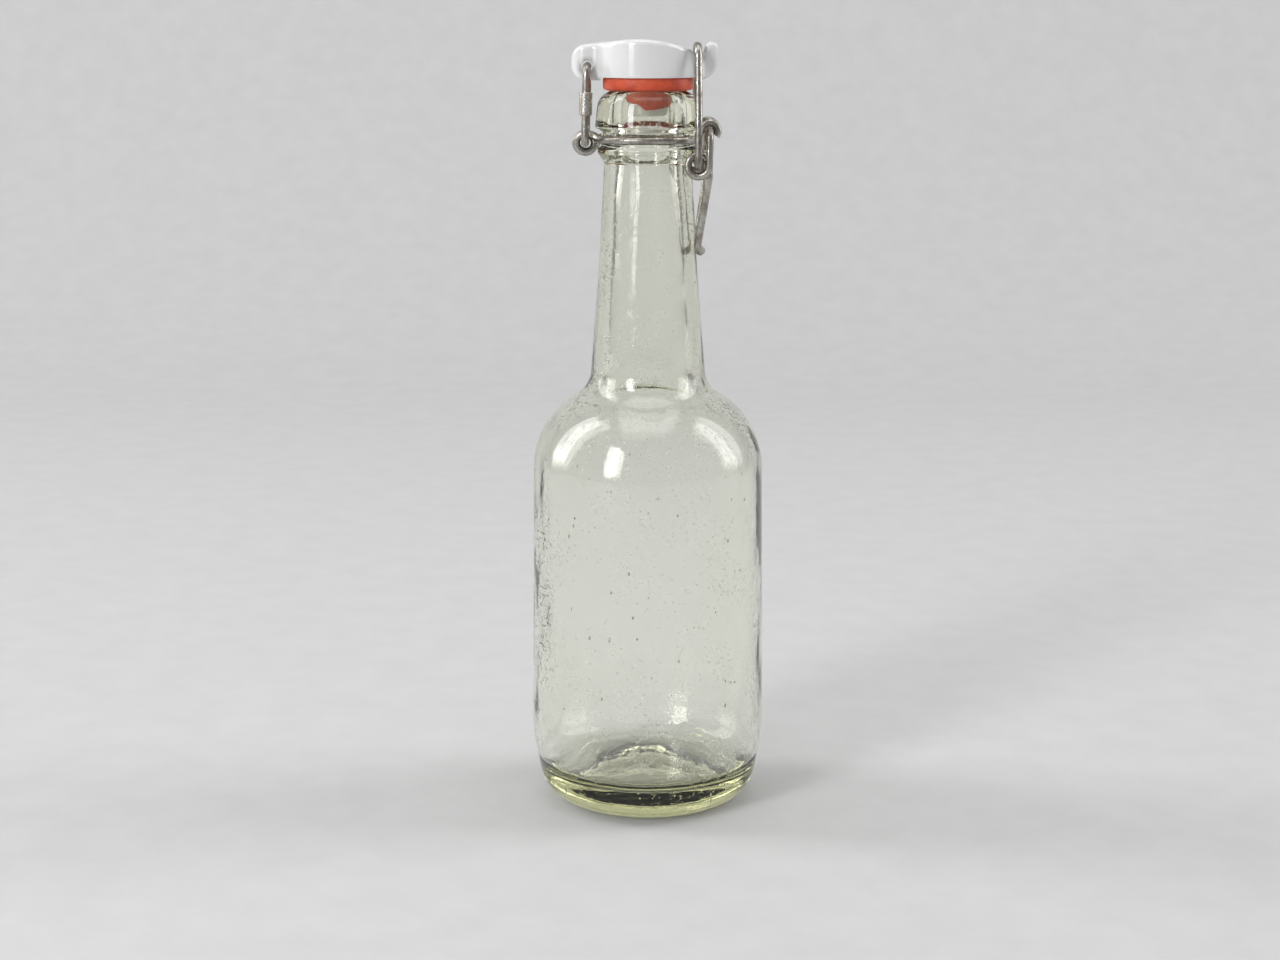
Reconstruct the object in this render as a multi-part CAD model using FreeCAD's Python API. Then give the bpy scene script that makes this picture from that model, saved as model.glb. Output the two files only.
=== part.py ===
import FreeCAD, Part
import math
import os

# A swing top bottle of clear glass. Origin at the centre of the base, +Z up. The closure's long axis runs
# along X, with the hinge side at -X and the lever side at +X. Sizes in millimetres.

# Glass bottle
foot_r = 31.9
heel_round = 11.0
heel_z = 21.0
heel_sweep = 60.0
body_r = 36.1
body_wall = 3.6
base_thick = 10.2
floor_round = 5.6
kick_r = 20.0
kick_rise = 2.2
shoulder_r = 35.0
shoulder_z = 120.1
shoulder_slope = math.radians(30)
shoulder_round = 26.5
shoulder_wall = 4.2
neck_root_r = 17.8
neck_root_round = 9.0
neck_root_wall = 4.6
neck_mid_r = 15.1
neck_sweep = 240.0
neck_top_r = 13.2
neck_top_z = 197.9
neck_top_round = 1.4
bore_sweep = 60.0

# Finish: the thick glass end of the neck, with the groove that holds the collar wire
ring_r = 15.1
ring_flare = 2.8
ring_h = 1.4
ring_round = 0.6
groove_r = 14.0
groove_slope = 0.7
groove_h = 4.4
groove_round = 0.5
bead_r = 15.9
bead_slope = 1.1
bead_edge = 0.8
bead_top_r = 14.7
bead_round = 5.4
bead_h = 10.9
bore_r = 8.3
mouth_round = 1.4

# Rubber washer and porcelain stopper
washer_r = 13.6
washer_thick = 3.8
washer_edge = 0.7
washer_gap = 0.05
stem_r = 6.2
stem_fit = 0.1
stem_bead_r = 7.3
stem_bead_h = 2.2
stem_end_r = 5.6
stem_reach = 7.9
stem_round = 1.2
stem_neck_round = 0.3
drum_r = 14.6
seat_room = 0.4
crown_set = 13.3
crown_h = 12.0
crown_round = 42.0
crown_left_h = 9.2
crown_end = 2.1
crown_end_h = 8.3
glaze_round = 1.6
crest_round = 1.8
lug_len = 8.2
lug_half = 5.0
lug_drop = 0.9
lug_round = 4.6
lug_blend = 6.0
lug_root_set = 0.25
hole_set = 3.5
hole_h = 3.2
hole_r = 1.75
saddle_set = 0.05
saddle_half = 4.9
waist_set = 0.6
saddle_deep_h = 5.6
saddle_round = 1.8
lobe_set = 1.9
lobe_half = 6.3
lobe_foot_h = 7.7
lobe_brow_set = 2.5
lobe_tip_set = 6.1
lobe_tip_h = 10.4
lobe_len = 6.2
lobe_drop = 0.6
lobe_end_half = 4.9
lobe_low_round = 5.5

# Steel wire
wire_d = 2.3
seat_clear = 0.15
hook_clear = 0.2
wire_gap = 0.35
eye_room = 0.2
eye_offset = 1.45
eye_half = 7.4
eye_end = math.radians(-35)
eye_leave = math.radians(38.5)
hook_turn = math.radians(30.5)
hook_out = 0.6
hook_heading = math.radians(-30)
hinge_room = 1.7
hinge_eye_r = 2.75
coil_turns = 1.625
coil_pitch = 2.6
coil_r = 3.1
bend_r = 2.6
collar_leave = math.radians(25)
link_sleeve_d = 3.9
link_sleeve_len = 6.8
link_sleeve_fit = 0.05
link_sleeve_edge = 0.4
end_gap = 0.4
link_sleeve_h = 8.4

# Lever and bail
pivot_rise = 2.5
toggle_drop = 9.9
toggle_offset = 3.3
toggle_clear = 1.35
bail_straight = 14.0
lever_reach = 36.0
handle_half = math.radians(23)

V = FreeCAD.Vector
UP = V(0, 0, 1)
wire_r = wire_d / 2
rise = math.tan(shoulder_slope)


def unit(v):
    return V(v).normalize()


def outline(points):
    """Edges of an open outline through (x, z, rounding) points, with tangent arcs at its corners."""
    corners = [V(x, 0, z) for x, z, _ in points]
    edges = []
    start = corners[0]
    for before, corner, after, (_, _, radius) in zip(corners, corners[1:], corners[2:], points[1:]):
        back = unit(before - corner)
        ahead = unit(after - corner)
        half = back.getAngle(ahead) / 2
        middle = unit(back + ahead)
        cut = radius / math.tan(half)
        first = corner + back * cut
        last = corner + ahead * cut
        edges.append(Part.LineSegment(start, first).toShape())
        if radius > 0:
            crest = corner + middle * (radius / math.sin(half) - radius)
            edges.append(Part.Arc(first, crest, last).toShape())
        start = last
    edges.append(Part.LineSegment(start, corners[-1]).toShape())
    return edges


def closed(points):
    """The flat face inside an outline, closed by a straight edge from its last point to its first."""
    first, last = (V(x, 0, z) for x, z, _ in (points[0], points[-1]))
    return Part.Face(Part.Wire(outline(points) + [Part.LineSegment(last, first).toShape()]))


def turned(points):
    """A solid of revolution about Z, whose outline starts and ends on the axis."""
    return closed(points).revolve(V(0, 0, 0), UP, 360)


def cap_ball(radius, rise, z):
    """The ball whose cap of the given rise stands on a circle of the given radius at height z."""
    ball_r = (radius ** 2 + rise ** 2) / (2 * rise)
    return Part.makeSphere(ball_r, V(0, 0, z + rise - ball_r), UP, -90, 90, 360)


def arc_edge(start, heading, end):
    """The arc that leaves start along heading and meets end, or a straight edge if end lies ahead."""
    chord = end - start
    along = unit(chord)
    side = heading - along * heading.dot(along)
    if side.Length < 1e-6:
        return Part.LineSegment(start, end).toShape()
    bulge = chord.Length / 2 * math.tan(heading.getAngle(along) / 2)
    return Part.Arc(start, (start + end) * 0.5 + unit(side) * bulge, end).toShape()


def meeting(start, heading, end, arrival):
    """The point where the two arcs of a smooth bend between two headings meet."""
    chord = end - start
    both = heading + arrival
    turn = 2 * (1 - heading.dot(arrival))
    if turn < 1e-9:
        reach = chord.dot(chord) / (2 * chord.dot(both))
    else:
        along = chord.dot(both)
        reach = (math.sqrt(along ** 2 + turn * chord.dot(chord)) - along) / turn
    return (start + end + (heading - arrival) * reach) * 0.5


def bent_wire(knots, diameter):
    """A round wire through (point, heading) knots, of straight runs and tangent arcs, with square ends."""
    edges = []
    for (start, heading), (end, arrival) in zip(knots, knots[1:]):
        middle = meeting(start, unit(heading), end, unit(arrival))
        edges.append(arc_edge(start, unit(heading), middle))
        edges.append(arc_edge(end, unit(arrival) * -1, middle))
    ring = Part.Edge(Part.Circle(knots[0][0], unit(knots[0][1]), diameter / 2))
    faces = [Part.Face(Part.Wire(ring))]
    place = knots[0][0]
    for edge in edges:
        ends = [edge.valueAt(edge.FirstParameter), edge.valueAt(edge.LastParameter)]
        forward = ends[0].distanceToPoint(place) < ends[1].distanceToPoint(place)
        goal = ends[1] if forward else ends[0]
        if isinstance(edge.Curve, Part.Circle):
            axis = edge.Curve.Axis if forward else edge.Curve.Axis * -1
            angle = math.degrees(edge.LastParameter - edge.FirstParameter)
            faces.append(ring.revolve(edge.Curve.Center, axis, angle))
            ring = ring.rotated(edge.Curve.Center, axis, angle)
        else:
            faces.append(ring.extrude(goal - place))
            ring = ring.translated(goal - place)
        place = goal
    faces.append(Part.Face(Part.Wire(ring)))
    shell = Part.Shell(faces)
    shell.sewShape()
    wire = Part.Solid(shell)
    if wire.Volume < 0:
        wire.reverse()
    return wire


def loop_knots(centre, radius, start, turn, drift):
    """Knots along a loop in the XZ plane, seen from the front: angles counter-clockwise from +X."""
    count = math.ceil(abs(turn) / (math.pi / 2) - 1e-6)
    slope = drift / (abs(turn) * radius)
    knots = []
    for n in range(count + 1):
        angle = start + turn * n / count
        spot = centre + V(math.cos(angle) * radius, drift * n / count, math.sin(angle) * radius)
        sign = math.copysign(1, turn)
        knots.append((spot, unit(V(-math.sin(angle) * sign, slope, math.cos(angle) * sign))))
    return knots


def mirrored(knots):
    """The same knots seen in the XZ plane's mirror and walked the other way."""
    return [(V(p.x, -p.y, p.z), V(-t.x, t.y, -t.z)) for p, t in reversed(knots)]


def around(radius, angle, z, sign):
    """A knot on a circle about the bottle's axis, walked counter-clockwise from above if sign is 1."""
    spot = V(math.cos(angle) * radius, math.sin(angle) * radius, z)
    return spot, V(-math.sin(angle) * sign, math.cos(angle) * sign, 0)


# Heights that follow from the sizes above
neck_root_z = shoulder_z + (shoulder_r - neck_root_r) * rise
neck_mid_z = (neck_root_z + neck_top_z) / 2
ring_z = neck_top_z + ring_flare
groove_z = ring_z + ring_h + groove_slope
bead_z = groove_z + groove_h + bead_slope
lip_z = bead_z + bead_h
seat_z = lip_z + washer_gap + washer_thick
collar_z = groove_z + groove_h / 2
collar_r = groove_r + seat_clear + wire_r
eye_r = wire_d + eye_room
eye_left = V(-(bead_r + wire_r + hinge_room), 0, collar_z + eye_offset - hinge_eye_r)
hook_r = bead_r + hook_clear + wire_r
pivot = V(math.sqrt(hook_r ** 2 - eye_half ** 2) + eye_r, 0, collar_z + pivot_rise)
hole_z = seat_z + hole_h

# Places along the stopper, from the edge of its drum
lug_reach = drum_r + lug_len
hole_x = -(drum_r + hole_set)
crown_x = drum_r - crown_set
crown_end_x = drum_r - crown_end
saddle_x = drum_r + saddle_set
lobe_x = saddle_x + lobe_set
lobe_brow_x = saddle_x + lobe_brow_set
lobe_tip_x = saddle_x + lobe_tip_set
lobe_reach = saddle_x + lobe_len


def neck_r_at(z):
    """Radius of the straight-sided upper half of the neck."""
    return neck_top_r + (neck_mid_r - neck_top_r) * (neck_top_z - z) / (neck_top_z - neck_mid_z)


def make_bottle():
    """Glass: a body drawn in at its foot, a round shoulder, a long tapered neck and a thick beaded finish."""
    outside = turned([
        (0, 0, 0),
        (foot_r, 0, heel_round),
        (body_r, heel_z, heel_sweep),
        (shoulder_r, shoulder_z, shoulder_round),
        (neck_root_r, neck_root_z, neck_root_round),
        (neck_mid_r, neck_mid_z, neck_sweep),
        (neck_top_r, neck_top_z, neck_top_round),
        (ring_r, ring_z, ring_round),
        (ring_r, ring_z + ring_h, ring_round),
        (groove_r, groove_z, groove_round),
        (groove_r, groove_z + groove_h, groove_round),
        (bead_r, bead_z, bead_edge),
        (bead_top_r, lip_z, bead_round),
        (0, lip_z, 0),
    ])
    cavity_r = body_r - body_wall
    bore_root_r = neck_root_r - neck_root_wall
    under = shoulder_wall / math.cos(shoulder_slope)
    bore_root_z = shoulder_z + (shoulder_r - bore_root_r) * rise - under
    cavity = turned([
        (0, base_thick, 0),
        (cavity_r, base_thick, floor_round),
        (shoulder_r - body_wall, shoulder_z + body_wall * rise - under, shoulder_round - body_wall),
        (bore_root_r, bore_root_z, neck_root_round + neck_root_wall),
        (bore_r, neck_top_z, bore_sweep),
        (bore_r, lip_z + bore_r, 0),
        (0, lip_z + bore_r, 0),
    ])
    floor_r = cavity_r - floor_round
    cavity = cavity.cut(cap_ball(floor_r, kick_rise, base_thick))
    glass = outside.cut(cavity).cut(cap_ball(kick_r, kick_rise, 0))
    rim = [e for e in glass.Edges if is_circle(e, bore_r, lip_z)]
    return glass.makeFillet(mouth_round, rim)


def is_circle(edge, radius, z):
    """Whether an edge is the full circle of that radius about the bottle's axis at height z."""
    if edge.Degenerated or not isinstance(edge.Curve, Part.Circle):
        return False
    return abs(edge.Curve.Radius - radius) < 1e-6 and abs(edge.Curve.Center.z - z) < 1e-6


def is_upright(edge):
    """Whether both ends of an edge stand above each other."""
    first, last = (v.Point for v in (edge.Vertexes[0], edge.Vertexes[-1]))
    return math.hypot(last.x - first.x, last.y - first.y) < 1e-6


def make_washer():
    """Flat rubber ring round the stopper's stem, with eased outer edges."""
    low = lip_z + washer_gap
    ring = Part.makeCylinder(washer_r, washer_thick, V(0, 0, low))
    ring = ring.cut(Part.makeCylinder(stem_r + stem_fit, washer_thick, V(0, 0, low)))
    rims = [e for e in ring.Edges if is_circle(e, washer_r, low) or is_circle(e, washer_r, seat_z)]
    return ring.makeFillet(washer_edge, rims)


def stopper_side():
    """The stopper seen from the front: domed top, notch for the bail, thumb lobe and rounded hinge lug."""
    points = [
        (0, -lug_drop, 0),
        (-lug_reach, -lug_drop, lug_round),
        (-lug_reach, crown_left_h, lug_round),
        (crown_x, crown_h, crown_round),
        (crown_end_x, crown_end_h, crest_round),
        (saddle_x, saddle_deep_h, saddle_round),
        (lobe_x, lobe_foot_h, crest_round),
        (lobe_brow_x, lobe_tip_h, crest_round),
        (lobe_tip_x, lobe_tip_h, crest_round),
        (lobe_reach, -lobe_drop, lobe_low_round),
        (saddle_x, -lobe_drop, 0),
    ]
    return closed([(x, seat_z + z, r) for x, z, r in points])


def stopper_plan():
    """Half of the stopper seen from above: hinge lug, round drum, waist at the saddle and thumb lobe."""
    lug_root = -(drum_r + lug_root_set)
    waist = drum_r - waist_set
    lug_normal = math.atan2(lug_half, lug_root) - math.acos(drum_r / math.hypot(lug_root, lug_half))
    lobe_normal = math.atan2(saddle_half, waist) + math.acos(drum_r / math.hypot(waist, saddle_half))
    facing = (lug_normal + lobe_normal) / 2
    apex = drum_r / math.cos((lug_normal - lobe_normal) / 2)
    return closed([
        (-lug_reach, 0, 0),
        (-lug_reach, lug_half, lug_round),
        (lug_root, lug_half, lug_blend),
        (math.cos(facing) * apex, math.sin(facing) * apex, drum_r),
        (waist, saddle_half, glaze_round),
        (lobe_x, lobe_half, crest_round),
        (lobe_reach, lobe_end_half, crest_round),
        (lobe_reach, 0, 0),
    ])


def make_stopper():
    """Glazed porcelain: a domed drum, pierced hinge lug, saddle for the bail, thumb lobe and stem."""
    deep = crown_h * 3
    half = stopper_plan().rotated(V(0, 0, 0), V(1, 0, 0), 90)
    block = half.translated(V(0, 0, seat_z - deep / 2)).extrude(V(0, 0, deep))
    block = block.fuse(block.mirror(V(0, 0, 0), V(0, 1, 0))).removeSplitter()
    side = stopper_side().translated(V(0, -deep, 0)).extrude(V(0, deep * 2, 0))
    bar = side.common(block).removeSplitter()
    bar = bar.makeFillet(glaze_round, [e for e in bar.Edges if not is_upright(e)])
    recess = Part.makeCylinder(drum_r + seat_room, deep, V(0, 0, seat_z - deep))
    bar = bar.cut(recess)
    stem = turned([
        (0, lip_z - stem_reach, 0),
        (stem_end_r, lip_z - stem_reach, stem_round),
        (stem_bead_r, lip_z - stem_bead_h, stem_round),
        (stem_r, lip_z - washer_edge, stem_neck_round),
        (stem_r, seat_z + crown_h / 2, 0),
        (0, seat_z + crown_h / 2, 0),
    ])
    hole = Part.makeCylinder(hole_r, lug_half * 4, V(hole_x, -lug_half * 2, hole_z), V(0, 1, 0))
    return bar.fuse(stem).removeSplitter().cut(hole)


def make_collar():
    """One wire round the neck: a coil eye at the hinge, and a hook over the lever's bridge at each end."""
    quarter = math.pi / 2
    hook = loop_knots(V(pivot.x, eye_half, pivot.z), eye_r, math.pi, eye_end - math.pi, 0)
    spot, _ = around(collar_r + hook_out, hook_turn, collar_z, -1)
    bend = (spot, V(math.cos(hook_heading), math.sin(hook_heading), 0))
    back = [around(collar_r, a, collar_z, -1) for a in (math.pi - collar_leave, quarter, eye_leave)]
    back += [bend] + hook
    coil_len = coil_pitch * coil_turns
    left = V(eye_left.x, -coil_len / 2, eye_left.z)
    coil = loop_knots(left, hinge_eye_r, quarter, coil_turns * 2 * math.pi, coil_len)
    return bent_wire(mirrored(back) + coil + back, wire_d)


def link_knots():
    """The hinge link's loop: down from its joint in the sleeve, through the eye, up and through the lug."""
    side = lug_half + wire_gap + bend_r
    low = V(eye_left.x, 0, eye_left.z)
    high = V(hole_x, 0, hole_z)
    along = unit(high - low)
    joint = low + along * (link_sleeve_h + link_sleeve_len / 2)
    reach = V(0, -side, 0)
    turn = V(0, bend_r, 0)
    return [
        (joint + reach - along * (end_gap / 2), along * -1),
        (low + reach + along * bend_r, along * -1),
        (low + reach + turn, V(0, 1, 0)),
        (low - reach - turn, V(0, 1, 0)),
        (low - reach + along * bend_r, along),
        (high - reach - along * bend_r, along),
        (high - reach - turn, V(0, -1, 0)),
        (high + reach + turn, V(0, -1, 0)),
        (high + reach - along * bend_r, along * -1),
        (joint + reach + along * (end_gap / 2), along * -1),
    ]


def make_link_sleeve():
    """Pressed tube over the joint of the hinge link's wire."""
    knots = link_knots()
    along = unit(knots[-1][1])
    middle = (knots[0][0] + knots[-1][0]) * 0.5
    start = middle - along * (link_sleeve_len / 2)
    tube = Part.makeCylinder(link_sleeve_d / 2, link_sleeve_len, start, along)
    rims = [e for e in tube.Edges if isinstance(e.Curve, Part.Circle)]
    tube = tube.makeFillet(link_sleeve_edge, rims)
    return tube.cut(Part.makeCylinder(wire_r + link_sleeve_fit, link_sleeve_len, start, along))


# The toggle: the bail's ends turn in the lever's coils
bail_end = V(pivot.x - toggle_offset, 0, pivot.z - toggle_drop)
coil_left = bail_end.x - coil_r - wire_r
coil_y = math.sqrt(max(0, (ring_r + wire_gap) ** 2 - coil_left ** 2)) + wire_r
arm_y = coil_y + coil_pitch / 2
leg_y = coil_y - coil_pitch / 2
bail_y = arm_y + wire_d + wire_gap
saddle_half_angle = math.atan2(saddle_x - crown_end_x, crown_end_h - saddle_deep_h)
saddle_h = saddle_deep_h + saddle_round / math.sin(saddle_half_angle) - saddle_round
saddle_wire_z = seat_z + saddle_h + toggle_clear + wire_r


def make_bail():
    """Closing wire: a bridge over the stopper's saddle, cranked legs, and ends turned in to the coils."""
    top_y = lobe_half + wire_gap + wire_r + bend_r / 2
    top = V(saddle_x, -top_y, saddle_wire_z)
    low = V(bail_end.x, -bail_y, bail_end.z)
    knee = low + V((top.x - low.x) * bail_straight / (top.z - low.z), 0, bail_straight)
    rising = unit(knee - low)
    leaning = unit(top - knee)
    half = [
        (V(low.x, -leg_y + wire_r + wire_gap, low.z), V(0, -1, 0)),
        (low + V(0, bend_r, 0), V(0, -1, 0)),
        (low + rising * bend_r, rising),
        (knee - rising * bend_r, rising),
        (knee + leaning * bend_r, leaning),
        (top - leaning * bend_r, leaning),
        (top + V(0, bend_r, 0), V(0, 1, 0)),
    ]
    return bent_wire(half + mirrored(half), wire_d)


def make_lever():
    """Toggle lever: a bridge in the collar's hooks, arms with coils, and a finger loop round the neck."""
    loop_z = pivot.z - lever_reach
    loop_r = neck_r_at(loop_z) + wire_gap + wire_r
    foot = V(math.cos(handle_half) * loop_r, -math.sin(handle_half) * loop_r, loop_z + bend_r)
    coil = loop_knots(V(bail_end.x, -arm_y, bail_end.z), coil_r, 0, -2 * math.pi, coil_pitch)
    knee = V(bail_end.x + coil_r, -leg_y, bail_end.z - coil_r - wire_r)
    down = unit(foot - knee)
    turn_in = handle_half - bend_r / loop_r
    half = [
        (V(pivot.x, -end_gap / 2, pivot.z), V(0, -1, 0)),
        (V(pivot.x, bend_r - arm_y, pivot.z), V(0, -1, 0)),
        (V(pivot.x, -arm_y, pivot.z - bend_r), V(0, 0, -1)),
    ]
    half += coil
    half += [
        (knee, down),
        (foot, down),
        around(loop_r, -turn_in, loop_z, 1),
    ]
    return bent_wire(half + [around(loop_r, 0, loop_z, 1)] + mirrored(half), wire_d)


parts = {
    "bottle": make_bottle(),
    "neck_ring": make_collar(),
    "hinge_link": bent_wire(link_knots(), wire_d),
    "link_sleeve": make_link_sleeve(),
    "stopper": make_stopper(),
    "sealing_washer": make_washer(),
    "closing_bail": make_bail(),
    "lever": make_lever(),
}

os.makedirs("parts", exist_ok=True)
for name, shape in parts.items():
    shape.exportStep("parts/" + name + ".step")
    print(name, shape.isValid(), len(shape.Solids), round(shape.Volume, 1))
print("lever pivot", pivot, "bail ends", bail_end)
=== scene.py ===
"""Looks of a swing top bottle: old clear glass, porcelain stopper, rubber washer and tarnished steel wire."""
import math
import random

import bpy
import bmesh
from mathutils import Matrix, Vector, noise


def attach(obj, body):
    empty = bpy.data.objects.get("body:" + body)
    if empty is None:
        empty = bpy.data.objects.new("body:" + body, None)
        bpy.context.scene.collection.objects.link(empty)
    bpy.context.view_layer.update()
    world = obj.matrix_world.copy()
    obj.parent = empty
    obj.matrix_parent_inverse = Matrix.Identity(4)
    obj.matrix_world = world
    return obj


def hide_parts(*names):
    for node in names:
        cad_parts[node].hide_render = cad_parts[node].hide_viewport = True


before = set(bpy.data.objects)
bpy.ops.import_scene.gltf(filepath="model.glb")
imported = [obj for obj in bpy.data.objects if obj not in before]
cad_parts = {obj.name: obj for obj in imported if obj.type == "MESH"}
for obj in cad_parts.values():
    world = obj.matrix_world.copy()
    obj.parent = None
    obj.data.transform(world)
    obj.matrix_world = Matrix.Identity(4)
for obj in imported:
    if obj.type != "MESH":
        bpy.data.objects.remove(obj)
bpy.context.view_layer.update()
MM = 0.001


# Node helpers

def new_material(name):
    """A material with an empty tree, its principled shader and its output."""
    mat = bpy.data.materials.new(name)
    mat.use_nodes = True
    tree = mat.node_tree
    tree.nodes.clear()
    out = tree.nodes.new("ShaderNodeOutputMaterial")
    shader = tree.nodes.new("ShaderNodeBsdfPrincipled")
    tree.links.new(shader.outputs["BSDF"], out.inputs["Surface"])
    return mat, tree, shader, out


def coords(tree, scale=(1, 1, 1), turn=(0, 0, 0)):
    """Object coordinates in metres, turned by degrees and then multiplied by scale."""
    place = tree.nodes.new("ShaderNodeTexCoord")
    mapping = tree.nodes.new("ShaderNodeMapping")
    mapping.vector_type = "TEXTURE"
    mapping.inputs["Rotation"].default_value = [math.radians(a) for a in turn]
    mapping.inputs["Scale"].default_value = [1 / s for s in scale]
    tree.links.new(place.outputs["Object"], mapping.inputs["Vector"])
    return mapping.outputs["Vector"]


def noise_tex(tree, vector, scale, detail=4.0, rough=0.55, distortion=0.0):
    """A noise whose features are about 1 / scale metres across."""
    node = tree.nodes.new("ShaderNodeTexNoise")
    node.inputs["Scale"].default_value = scale
    node.inputs["Detail"].default_value = detail
    node.inputs["Roughness"].default_value = rough
    node.inputs["Distortion"].default_value = distortion
    tree.links.new(vector, node.inputs["Vector"])
    return node.outputs["Fac"]


def ramp(tree, value, stops):
    """A colour ramp through (position, colour) stops."""
    node = tree.nodes.new("ShaderNodeValToRGB")
    elements = node.color_ramp.elements
    while len(elements) < len(stops):
        elements.new(0.5)
    for element, (position, colour) in zip(elements, stops):
        element.position = position
        element.color = (*colour, 1)
    tree.links.new(value, node.inputs["Fac"])
    return node.outputs["Color"]


def grey(level):
    """A neutral colour."""
    return (level, level, level)


def mix(tree, factor, first, second, mode="MIX"):
    """Mixes two colours, each a socket or a plain colour, by a factor socket or number."""
    node = tree.nodes.new("ShaderNodeMix")
    node.data_type = "RGBA"
    node.blend_type = mode
    if isinstance(factor, (int, float)):
        node.inputs[0].default_value = factor
    else:
        tree.links.new(factor, node.inputs[0])
    for socket, value in ((node.inputs[6], first), (node.inputs[7], second)):
        if isinstance(value, tuple):
            socket.default_value = (*value, 1)
        else:
            tree.links.new(value, socket)
    return node.outputs[2]


def bump(tree, shader, height, strength, distance):
    """Relief on a shader, on top of any relief that it has."""
    node = tree.nodes.new("ShaderNodeBump")
    node.inputs["Strength"].default_value = strength
    node.inputs["Distance"].default_value = distance
    tree.links.new(height, node.inputs["Height"])
    for link in shader.inputs["Normal"].links:
        tree.links.new(link.from_socket, node.inputs["Normal"])
    tree.links.new(node.outputs["Normal"], shader.inputs["Normal"])


# Materials

def glass_material():
    """Old clear glass with a faint olive tint in its depth, fine ripples, scratches and dull nicks."""
    mat, tree, shader, out = new_material("clear_glass")
    shader.inputs["Base Color"].default_value = (0.985, 0.99, 0.975, 1)
    shader.inputs["Transmission Weight"].default_value = 1.0
    shader.inputs["IOR"].default_value = 1.51
    place = coords(tree)
    mark_mask = ramp(tree, noise_tex(tree, place, 46, 3, 0.6), [(0.40, grey(0.0)), (0.60, grey(1.0))])
    scratches = grey(0.0)
    for turn, length in (((22, 35, 0), 0.07), ((-58, 12, 80), 0.06), ((85, 0, 30), 0.10)):
        streak = noise_tex(tree, coords(tree, (1, 1, length), turn), 1000, 2, 0.5)
        lines = ramp(tree, streak, [(0.67, grey(0.0)), (0.72, grey(1.0))])
        scratches = mix(tree, 1.0, scratches, lines, "LIGHTEN")
    chatter = noise_tex(tree, place, 620, 5, 0.7, 1.5)
    nicks = ramp(tree, chatter, [(0.66, grey(0.0)), (0.72, grey(1.0))])
    marks = mix(tree, 1.0, mark_mask, mix(tree, 1.0, scratches, nicks, "LIGHTEN"), "MULTIPLY")
    tree.links.new(ramp(tree, marks, [(0.0, grey(0.0)), (1.0, grey(0.45))]), shader.inputs["Roughness"])
    bump(tree, shader, noise_tex(tree, place, 95, 3, 0.5, 0.6), 0.11, 0.0008)
    bump(tree, shader, marks, 0.32, 0.00012)
    depth = tree.nodes.new("ShaderNodeVolumeAbsorption")
    depth.inputs["Color"].default_value = (0.78, 0.79, 0.30, 1)
    depth.inputs["Density"].default_value = 19.0
    tree.links.new(depth.outputs["Volume"], out.inputs["Volume"])
    return mat


def near(tree, spot, reach):
    """A grey that is strongest at a place, in metres, and gone at its reach."""
    place = tree.nodes.new("ShaderNodeTexCoord")
    gap = tree.nodes.new("ShaderNodeVectorMath")
    gap.operation = "DISTANCE"
    gap.inputs[1].default_value = spot
    tree.links.new(place.outputs["Object"], gap.inputs[0])
    share = tree.nodes.new("ShaderNodeMath")
    share.operation = "DIVIDE"
    share.inputs[1].default_value = reach
    tree.links.new(gap.outputs["Value"], share.inputs[0])
    return ramp(tree, share.outputs[0], [(0.5, grey(0.9)), (1.0, grey(0.0))])


# Grey marks on the stopper, as place and reach in metres: rub marks with painted shade inside the lug's hole,
# and rub marks on the saddle where the wire bears
RUB_AND_SHADE_SIDES = (-0.0045, 0.0, 0.0045)
RUBS_AND_HOLE_SHADE = [((-0.0181, side, 0.22625), 0.0034) for side in RUB_AND_SHADE_SIDES]
RUBS_AND_HOLE_SHADE += [((0.0146, side, 0.2292), 0.0032) for side in RUB_AND_SHADE_SIDES]


def porcelain_material():
    """White glazed porcelain with pinholes, faint clouding, grey marks where the wire rubs and painted shade
    inside the lug's hole.
    """
    mat, tree, shader, _ = new_material("porcelain")
    place = coords(tree)
    cloud = ramp(tree, noise_tex(tree, place, 120, 5), [(0.3, grey(0.78)), (0.7, grey(0.82))])
    specks = ramp(tree, noise_tex(tree, place, 1500, 2, 0.5), [(0.755, grey(0.0)), (0.79, grey(1.0))])
    colour = mix(tree, specks, cloud, (0.42, 0.40, 0.37))
    smear = noise_tex(tree, coords(tree, (1, 1, 0.4)), 520, 4, 0.6)
    rub_and_shade_smear = ramp(tree, smear, [(0.38, grey(0.15)), (0.60, grey(1.0))])
    # Greys the porcelain near each spot: rub marks on the saddle, and rub marks with painted shade inside the
    # lug's hole
    for spot, reach in RUBS_AND_HOLE_SHADE:
        mark_mask = mix(tree, 1.0, near(tree, spot, reach), rub_and_shade_smear, "MULTIPLY")
        colour = mix(tree, mark_mask, colour, (0.27, 0.26, 0.24))
    tree.links.new(colour, shader.inputs["Base Color"])
    rough = ramp(tree, noise_tex(tree, place, 420, 4), [(0.35, grey(0.07)), (0.75, grey(0.18))])
    tree.links.new(rough, shader.inputs["Roughness"])
    shader.inputs["IOR"].default_value = 1.55
    shader.inputs["Coat Weight"].default_value = 0.6
    shader.inputs["Coat Roughness"].default_value = 0.06
    bump(tree, shader, noise_tex(tree, place, 160, 2, 0.5), 0.08, 0.0006)
    return mat


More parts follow.
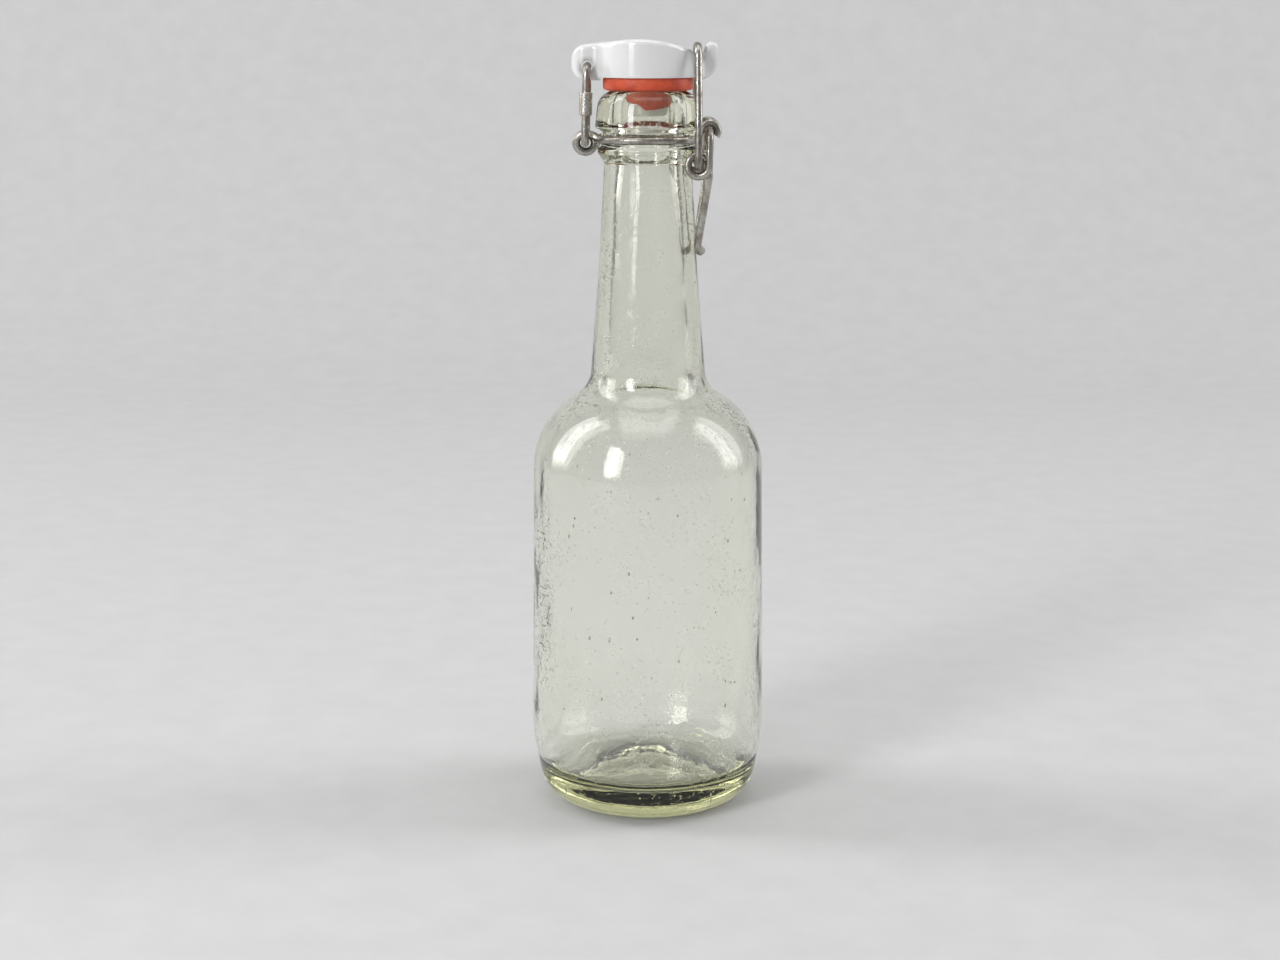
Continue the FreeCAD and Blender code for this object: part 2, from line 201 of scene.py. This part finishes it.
def rubber_material():
    """Orange-red rubber, mottled, dusty and paler where it has aged."""
    mat, tree, shader, _ = new_material("washer_rubber")
    place = coords(tree)
    base = ramp(tree, noise_tex(tree, place, 180, 5), [
        (0.25, (0.46, 0.045, 0.016)), (0.5, (0.66, 0.085, 0.03)), (0.8, (0.76, 0.16, 0.07))])
    bloom = noise_tex(tree, coords(tree, (1, 1, 3)), 900, 4)
    dust = ramp(tree, bloom, [(0.58, grey(0.0)), (0.8, grey(0.45))])
    tree.links.new(mix(tree, dust, base, (0.70, 0.36, 0.26)), shader.inputs["Base Color"])
    rough = ramp(tree, noise_tex(tree, place, 700, 3), [(0.3, grey(0.38)), (0.7, grey(0.62))])
    tree.links.new(rough, shader.inputs["Roughness"])
    bump(tree, shader, noise_tex(tree, place, 1400, 4), 0.25, 0.0004)
    return mat


def steel_material(name, bright, tarnish, grain):
    """Bright drawn steel with brownish tarnish, dark pits and fine draw lines."""
    mat, tree, shader, _ = new_material(name)
    shader.inputs["Metallic"].default_value = 1.0
    place = coords(tree)
    patches = ramp(tree, noise_tex(tree, place, 210, 6, 0.65), [(0.42, grey(0.0)), (0.68, grey(1.0))])
    base = mix(tree, patches, bright, tarnish)
    pits = ramp(tree, noise_tex(tree, place, 1900, 3, 0.6), [(0.62, grey(0.0)), (0.72, grey(1.0))])
    tree.links.new(mix(tree, pits, base, (0.09, 0.075, 0.06)), shader.inputs["Base Color"])
    lines = noise_tex(tree, coords(tree, grain), 1600, 3, 0.6)
    rough = ramp(tree, mix(tree, 0.5, patches, lines), [(0.2, grey(0.2)), (0.8, grey(0.5))])
    tree.links.new(rough, shader.inputs["Roughness"])
    bump(tree, shader, lines, 0.3, 0.00025)
    return mat


GLASS = glass_material()
PORCELAIN = porcelain_material()
RUBBER = rubber_material()
WIRE = steel_material("steel_wire", (0.47, 0.455, 0.42), (0.20, 0.17, 0.135), (1, 1, 0.25))
SLEEVE = steel_material("sleeve_steel", (0.56, 0.545, 0.51), (0.33, 0.295, 0.24), (1, 1, 6))


# Glass bottle, in millimetres, on the same values as its solid

FOOT_R, HEEL, HEEL_Z, HEEL_SWEEP = 31.9, 11.0, 21.0, 60.0
BODY_R, WALL, BASE, FLOOR_ROUND = 36.1, 3.6, 10.2, 5.6
KICK_R, KICK = 20.0, 2.2
SHOULDER_R, SHOULDER_Z, SLOPE, SHOULDER_ROUND, SHOULDER_WALL = 35.0, 120.1, math.radians(30), 26.5, 4.2
ROOT_R, ROOT_ROUND, ROOT_WALL = 17.8, 9.0, 4.6
MID_R, SWEEP, TOP_R, TOP_Z, TOP_ROUND, BORE_SWEEP = 15.1, 240.0, 13.2, 197.9, 1.4, 60.0
RING_R, RING_Z, RING_TOP_Z, RING_ROUND = 15.1, 200.7, 202.1, 0.6
GROOVE_R, GROOVE_Z, GROOVE_TOP_Z, GROOVE_ROUND = 14.0, 202.8, 207.2, 0.5
BEAD_R, BEAD_Z, BEAD_EDGE, BEAD_TOP_R, BEAD_ROUND = 15.9, 208.3, 0.8, 14.7, 5.4
BORE_R, MOUTH_ROUND, LIP_Z, LIP_MID_R = 8.3, 1.4, 219.2, 11.0
CAP_STEPS = 14

# Waviness: noise scales sideways and upwards, and its depths in millimetres
SLOW_SIDE, SLOW_UP = 0.045, 0.022
QUICK_SIDE, QUICK_UP, QUICK_SHIFT = 0.16, 0.09, 7
INSIDE_SLOW, INSIDE_QUICK = 0.48, 0.15
OUTSIDE_SLOW, OUTSIDE_QUICK, OUTSIDE_LOSS = 0.05, 0.028, 0.06
FLOOR_RIPPLE, FLOOR_SIDE, FLOOR_SHIFT, FLOOR_SHARE = 0.13, 0.3, 3.0, 0.5

# Heights where it dies out under the neck's ring and at the foot, and where the inside turns to floor
NECK_CALM_Z, NECK_FADE = 197.0, 8.0
FOOT_CALM_Z, FOOT_FADE = 1.0, 6.0
FLOOR_TURN_Z, FLOOR_FADE = 18.0, 6.0

# Seeds, which are trapped bubbles: every sixth one is in the thick base, the others in the body's wall
SEED_COUNT, BASE_SEED_EVERY, SEED_STRETCH = 90, 6, (1.0, 2.2)
BASE_SEED_R, BASE_SEED_Z, BASE_SEED_SIZE = (4, 26), (4.5, 8.5), (0.12, 0.3)
WALL_SEED_DEPTH, WALL_SEED_Z, WALL_SEED_SIZE = (0.7, 1.8), (24, 104), (0.10, 0.34)


def rounded(points, step=0.9, bend=0.2):
    """Samples of an outline through (r, z, rounding) points, with tangent arcs at its corners.

    Samples on an arc are at most a step apart in millimetres and a bend apart in radians.
    """
    corners = [Vector((r, z)) for r, z, _ in points]
    spots = [corners[0]]

    def straight(goal):
        count = max(1, round((goal - spots[-1]).length / (step * 2)))
        start = spots[-1]
        spots.extend(start.lerp(goal, n / count) for n in range(1, count + 1))

    for before, corner, after, (_, _, radius) in zip(corners, corners[1:], corners[2:], points[1:]):
        back = (before - corner).normalized()
        ahead = (after - corner).normalized()
        half = back.angle(ahead) / 2
        cut = radius / math.tan(half)
        first, last = corner + back * cut, corner + ahead * cut
        centre = corner + (back + ahead).normalized() * (radius / math.sin(half))
        straight(first)
        sweep = math.pi - 2 * half
        count = max(3, math.ceil(sweep * radius / step), math.ceil(sweep / bend))
        arm = first - centre
        turn = arm.angle_signed(last - centre)
        for n in range(1, count + 1):
            a = -turn * n / count
            spots.append(centre + Vector((arm.x * math.cos(a) - arm.y * math.sin(a),
                                          arm.x * math.sin(a) + arm.y * math.cos(a))))
    straight(corners[-1])
    return spots


def cap(radius, rise, z, count):
    """Samples of a shallow cap from its centre out to its rim, the rim left out."""
    ball = (radius ** 2 + rise ** 2) / (2 * rise)
    radii = [radius * n / count for n in range(1, count)]
    return [Vector((r, z + rise - ball + math.sqrt(ball ** 2 - r ** 2))) for r in radii]


def glass_profile():
    """The outside from the base's centre to the lip, then the inside down to the floor's centre.

    Gives the outline's points and the place among them of the middle of the lip.
    """
    rise = math.tan(SLOPE)
    root_z = SHOULDER_Z + (SHOULDER_R - ROOT_R) * rise
    mid_z = (root_z + TOP_Z) / 2
    inner_r, bore_root = BODY_R - WALL, ROOT_R - ROOT_WALL
    under = SHOULDER_WALL / math.cos(SLOPE)
    run = rounded([
        (KICK_R, 0, 0),
        (FOOT_R, 0, HEEL),
        (BODY_R, HEEL_Z, HEEL_SWEEP),
        (SHOULDER_R, SHOULDER_Z, SHOULDER_ROUND),
        (ROOT_R, root_z, ROOT_ROUND),
        (MID_R, mid_z, SWEEP),
        (TOP_R, TOP_Z, TOP_ROUND),
        (RING_R, RING_Z, RING_ROUND),
        (RING_R, RING_TOP_Z, RING_ROUND),
        (GROOVE_R, GROOVE_Z, GROOVE_ROUND),
        (GROOVE_R, GROOVE_TOP_Z, GROOVE_ROUND),
        (BEAD_R, BEAD_Z, BEAD_EDGE),
        (BEAD_TOP_R, LIP_Z, BEAD_ROUND),
        (BORE_R, LIP_Z, MOUTH_ROUND),
        (BORE_R, TOP_Z, BORE_SWEEP),
        (bore_root, SHOULDER_Z + (SHOULDER_R - bore_root) * rise - under, ROOT_ROUND + ROOT_WALL),
        (SHOULDER_R - WALL, SHOULDER_Z + WALL * rise - under, SHOULDER_ROUND - WALL),
        (inner_r, BASE, FLOOR_ROUND),
        (inner_r - FLOOR_ROUND, BASE, 0),
    ])
    lip = max(range(len(run)), key=lambda n: (run[n].y, -abs(run[n].x - LIP_MID_R)))
    kick = cap(KICK_R, KICK, 0, CAP_STEPS)
    floor = cap(inner_r - FLOOR_ROUND, KICK, BASE, CAP_STEPS)
    return kick + run + floor[::-1], len(kick) + lip


def join_rings(bm, rows):
    """Faces between rings of points, from each ring to the next."""
    for low, high in zip(rows, rows[1:]):
        for k in range(len(low)):
            m = (k + 1) % len(low)
            bm.faces.new((low[k], low[m], high[m], high[k]))


def piece(name, bm, material):
    """A smooth object made of a mesh in the making."""
    for face in bm.faces:
        face.smooth = True
    mesh = bpy.data.meshes.new(name)
    bm.to_mesh(mesh)
    bm.free()
    mesh.materials.append(material)
    obj = bpy.data.objects.new(name, mesh)
    bpy.context.scene.collection.objects.link(obj)
    return obj


def share(amount, whole):
    """An amount as a part of a whole, held between 0 and 1."""
    return min(1.0, max(0.0, amount / whole))


def waver(spot, inside):
    """How far old glass strays at a place, in millimetres: both ways inside, a little inwards outside."""
    p = Vector(spot)
    slow = noise.noise(Vector((p.x * SLOW_SIDE, p.y * SLOW_SIDE, p.z * SLOW_UP)))
    quick = noise.noise(Vector((p.x * QUICK_SIDE + QUICK_SHIFT, p.y * QUICK_SIDE, p.z * QUICK_UP)))
    if inside:
        return INSIDE_SLOW * slow + INSIDE_QUICK * quick
    return OUTSIDE_SLOW * slow + OUTSIDE_QUICK * quick - OUTSIDE_LOSS


def make_glass(segments=168):
    """The bottle's glass as one closed skin, wavy inside, with seeds trapped in its wall."""
    profile, lip = glass_profile()
    bm = bmesh.new()
    rows = []
    for n, spot in enumerate(profile):
        inside = n > lip
        row = []
        for k in range(segments):
            a = 2 * math.pi * k / segments
            r, z = spot.x, spot.y
            where = (r * math.cos(a), r * math.sin(a), z)
            fade = share(NECK_CALM_Z - z, NECK_FADE)
            if inside:
                flat = share(FLOOR_TURN_Z - z, FLOOR_FADE)
                stray = waver(where, True) * fade
                ripple = noise.noise(Vector((where[0] * FLOOR_SIDE, where[1] * FLOOR_SIDE, FLOOR_SHIFT)))
                r -= stray * (1 - flat)
                z += (stray * FLOOR_SHARE + FLOOR_RIPPLE * ripple) * flat
            else:
                fade *= share(z - FOOT_CALM_Z, FOOT_FADE)
                r += waver(where, False) * fade
            row.append(bm.verts.new((r * math.cos(a) * MM, r * math.sin(a) * MM, z * MM)))
        rows.append(row)
    join_rings(bm, rows)
    for row, z, flip in ((rows[0], KICK, True), (rows[-1], BASE + KICK, False)):
        hub = bm.verts.new((0, 0, z * MM))
        for k in range(segments):
            m = (k + 1) % segments
            bm.faces.new((row[m], row[k], hub) if flip else (row[k], row[m], hub))
    add_seeds(bm)
    glass = piece("bottle_glass", bm, GLASS)
    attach(glass, "glass")
    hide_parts("bottle")


def add_seeds(bm):
    """Small stretched bubbles in the wall and the thick base, with their skins facing the hollow."""
    rng = random.Random(11)
    for n in range(SEED_COUNT):
        a = rng.uniform(0, 2 * math.pi)
        if n % BASE_SEED_EVERY == 0:
            r, z = rng.uniform(*BASE_SEED_R), rng.uniform(*BASE_SEED_Z)
            size = rng.uniform(*BASE_SEED_SIZE)
        else:
            r, z = SHOULDER_R - rng.uniform(*WALL_SEED_DEPTH), rng.uniform(*WALL_SEED_Z)
            size = rng.uniform(*WALL_SEED_SIZE)
        centre = Vector((r * math.cos(a), r * math.sin(a), z)) * MM
        made = bmesh.ops.create_icosphere(bm, subdivisions=2, radius=size * MM)["verts"]
        long = rng.uniform(*SEED_STRETCH)
        for v in made:
            v.co = centre + Vector((v.co.x, v.co.y, v.co.z * long))
        faces = {f for v in made for f in v.link_faces}
        bmesh.ops.reverse_faces(bm, faces=list(faces))


make_glass()


# Rubber washer, in millimetres: squeezed onto the lip, with old rubber sagging into the mouth

WASHER_R, SEAT_Z, STEM_R, SQUEEZE = 13.6, 223.05, 6.32, 0.03
SKIRT_R, SKIRT_IN_R, SKIRT_TOP_Z = 7.95, 7.3, 217.75
SEATED_R = (11.2, 10.5, 9.8, 9.2, 8.75)
EDGE_BACK, EDGE_RAGGED, RIM_RAGGED, SKIRT_RAGGED = 0.12, 0.1, 0.10, 0.3

# Depth of the sagged rubber below the lip, by degrees from the front
SAGS = ((-180, 1.9), (-115, 2.2), (-80, 4.1), (-60, 4.6), (-40, 4.6), (-20, 4.8), (-4, 6.0), (15, 5.8),
        (34, 5.3), (55, 4.9), (80, 4.2), (112, 2.2), (180, 1.9))


def lip_at(r):
    """Height of the glass lip at a radius, over its rounded mouth and rounded outer edge."""
    inner = BORE_R + MOUTH_ROUND
    lean = math.atan2(BEAD_R - BEAD_TOP_R, LIP_Z - BEAD_Z)
    outer = BEAD_TOP_R - BEAD_ROUND * math.tan((math.pi / 2 - lean) / 2)
    if r < inner:
        return LIP_Z - MOUTH_ROUND + math.sqrt(MOUTH_ROUND ** 2 - (inner - r) ** 2)
    if r > outer:
        return LIP_Z - BEAD_ROUND + math.sqrt(BEAD_ROUND ** 2 - (r - outer) ** 2)
    return LIP_Z


def sag_at(degrees):
    """Depth of the sagged rubber below the lip, by the angle from the front."""
    turn = (degrees + 180) % 360 - 180
    for (first, start), (last, end) in zip(SAGS, SAGS[1:]):
        if first <= turn <= last:
            part = (turn - first) / (last - first)
            return start + (end - start) * part * part * (3 - 2 * part)
    return SAGS[-1][1]


def washer_outline(a):
    """The ring's section at an angle, from the stem's top round the outside and back."""
    ragged = noise.noise(Vector((math.cos(a) * 2.2, math.sin(a) * 2.2, 1.7)))
    fine = noise.noise(Vector((math.cos(a) * 7, math.sin(a) * 7, 5.1)))
    low = LIP_Z - sag_at(math.degrees(a) + 90) - SKIRT_RAGGED * fine
    edge = WASHER_R - EDGE_BACK + EDGE_RAGGED * ragged
    rim = RIM_RAGGED * fine
    return [
        # top and outer edge
        (STEM_R, SEAT_Z), (edge - 0.55, SEAT_Z), (edge - 0.16, SEAT_Z - 0.16), (edge, SEAT_Z - 0.55),
        # outside, and the rim over the lip
        (edge + 0.02, SEAT_Z - 1.9), (edge - 0.02, LIP_Z + 0.75 + rim), (edge - 0.22, LIP_Z + 0.35 + rim),
        (edge - 0.7, LIP_Z + 0.12 + rim), (11.7, LIP_Z - 0.1),
        # seated on the lip
        *((r, lip_at(r) - SQUEEZE) for r in SEATED_R),
        # down into the mouth and round the lower edge of the sagged skirt
        (8.3, SKIRT_TOP_Z + 0.45), (8.02, SKIRT_TOP_Z),
        (SKIRT_R, low + 0.3), (SKIRT_R - 0.15, low + 0.06), (SKIRT_R - 0.4, low), (SKIRT_IN_R, low + 0.2),
        # back up to the stem
        (SKIRT_IN_R - 0.03, max(low + 0.25, SKIRT_TOP_Z)), (STEM_R, SKIRT_TOP_Z + 0.9),
    ]


def make_washer(segments=180):
    """The washer as one closed ring, smooth where it seats and ragged where it has sagged."""
    bm = bmesh.new()
    angles = [2 * math.pi * k / segments for k in range(segments)]
    rows = []
    for ring in zip(*(washer_outline(a) for a in angles)):
        spots = [(r * math.cos(a), r * math.sin(a), z) for (r, z), a in zip(ring, angles)]
        rows.append([bm.verts.new(Vector(spot) * MM) for spot in spots])
    join_rings(bm, rows + rows[:1])
    bmesh.ops.recalc_face_normals(bm, faces=bm.faces)
    washer = piece("washer_ring", bm, RUBBER)
    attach(washer, "closure")
    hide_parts("sealing_washer")


make_washer()


# Solids that keep their own shape

def dress(node, material):
    """Gives a solid its material."""
    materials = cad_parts[node].data.materials
    materials.clear()
    materials.append(material)


for wire in ("neck_ring", "hinge_link", "closing_bail", "lever"):
    dress(wire, WIRE)
dress("link_sleeve", SLEEVE)
dress("stopper", PORCELAIN)


# Stage, light and camera

# The backdrop's paper in metres: its front end, its bend upwards, its top and half its width
FRONT_Y, BEND_Y, BEND_R, BEND_STEPS, BACK_TOP_Z, HALF_WIDTH = -2.6, 0.75, 0.55, 12, 2.6, 3.0


def make_stage():
    """A pale floor that sweeps up behind the bottle into a plain backdrop."""
    mat, tree, shader, _ = new_material("stage_paper")
    grain = noise_tex(tree, coords(tree), 60, 4)
    tree.links.new(ramp(tree, grain, [(0.3, grey(0.61)), (0.7, grey(0.64))]), shader.inputs["Base Color"])
    shader.inputs["Roughness"].default_value = 0.85
    shader.inputs["Specular IOR Level"].default_value = 0.2
    path = [(FRONT_Y, 0.0), (BEND_Y, 0.0)]
    for n in range(1, BEND_STEPS + 1):
        a = math.radians(90 * n / BEND_STEPS)
        path.append((BEND_Y + BEND_R * math.sin(a), BEND_R - BEND_R * math.cos(a)))
    path.append((BEND_Y + BEND_R, BACK_TOP_Z))
    bm = bmesh.new()
    rows = [[bm.verts.new((x, y, z)) for x in (-HALF_WIDTH, HALF_WIDTH)] for y, z in path]
    for low, high in zip(rows, rows[1:]):
        bm.faces.new((low[0], low[1], high[1], high[0]))
    floor = piece("stage_floor", bm, mat)


def soft_edges(light, width=0.15):
    """Lets a lamp's face fade out towards its edges, as a soft box does."""
    light.use_nodes = True
    tree = light.node_tree
    face = tree.nodes.new("ShaderNodeNewGeometry")
    axes = tree.nodes.new("ShaderNodeSeparateXYZ")
    tree.links.new(face.outputs["Parametric"], axes.inputs[0])
    product = tree.nodes.new("ShaderNodeMath")
    product.operation = "MULTIPLY"
    for n in (0, 1):
        inward = tree.nodes.new("ShaderNodeMath")
        inward.operation = "PINGPONG"
        inward.inputs[1].default_value = 0.5
        tree.links.new(axes.outputs[n], inward.inputs[0])
        fade = tree.nodes.new("ShaderNodeMapRange")
        fade.interpolation_type = "SMOOTHSTEP"
        fade.inputs["From Max"].default_value = width
        tree.links.new(inward.outputs[0], fade.inputs["Value"])
        tree.links.new(fade.outputs[0], product.inputs[n])
    tree.links.new(product.outputs[0], tree.nodes["Emission"].inputs["Strength"])


def area_light(name, place, aim, size, power):
    """A white soft box at a place, turned towards its aim."""
    light = bpy.data.lights.new(name, "AREA")
    soft_edges(light)
    light.shape = "RECTANGLE"
    light.size, light.size_y = size
    light.energy = power
    obj = bpy.data.objects.new(name, light)
    obj.location = place
    obj.rotation_euler = (Vector(aim) - Vector(place)).to_track_quat("-Z", "Y").to_euler()
    bpy.context.scene.collection.objects.link(obj)


def make_light():
    """Two tall soft boxes at the sides, a broad top light, a narrow front fill and a grey world."""
    area_light("box_left", (-1.6, 0.38, 1.25), (0, 0, 0.95), (0.8, 2.3), 26.0)
    area_light("box_right", (1.6, 0.22, 1.25), (0, 0, 0.95), (1.05, 2.3), 26.0)
    area_light("top", (0.0, -0.1, 1.5), (0, 0.1, 0), (1.2, 1.2), 7.5)
    area_light("fill", (-0.80, -0.98, 0.64), (0, 0, 0.2), (0.36, 1.0), 11.5)
    world = bpy.data.worlds.new("studio")
    bpy.context.scene.world = world
    world.use_nodes = True
    sky = world.node_tree.nodes["Background"]
    sky.inputs["Color"].default_value = (0.63, 0.63, 0.635, 1)
    sky.inputs["Strength"].default_value = 0.45


def make_camera():
    """The photograph's view: near, level with the stopper and tipped down towards the body."""
    camera = bpy.data.cameras.new("view")
    camera.sensor_width = 36.0
    camera.lens = 63.28
    camera.clip_start, camera.clip_end = 0.05, 20.0
    obj = bpy.data.objects.new("view", camera)
    obj.location = (-0.0024, -0.680, 0.240)
    tip = 11.58
    obj.rotation_euler = (math.radians(90 - tip), 0, 0)
    bpy.context.scene.collection.objects.link(obj)
    bpy.context.scene.camera = obj


make_stage()
make_light()
make_camera()
bpy.context.scene.view_settings.view_transform = "Standard"
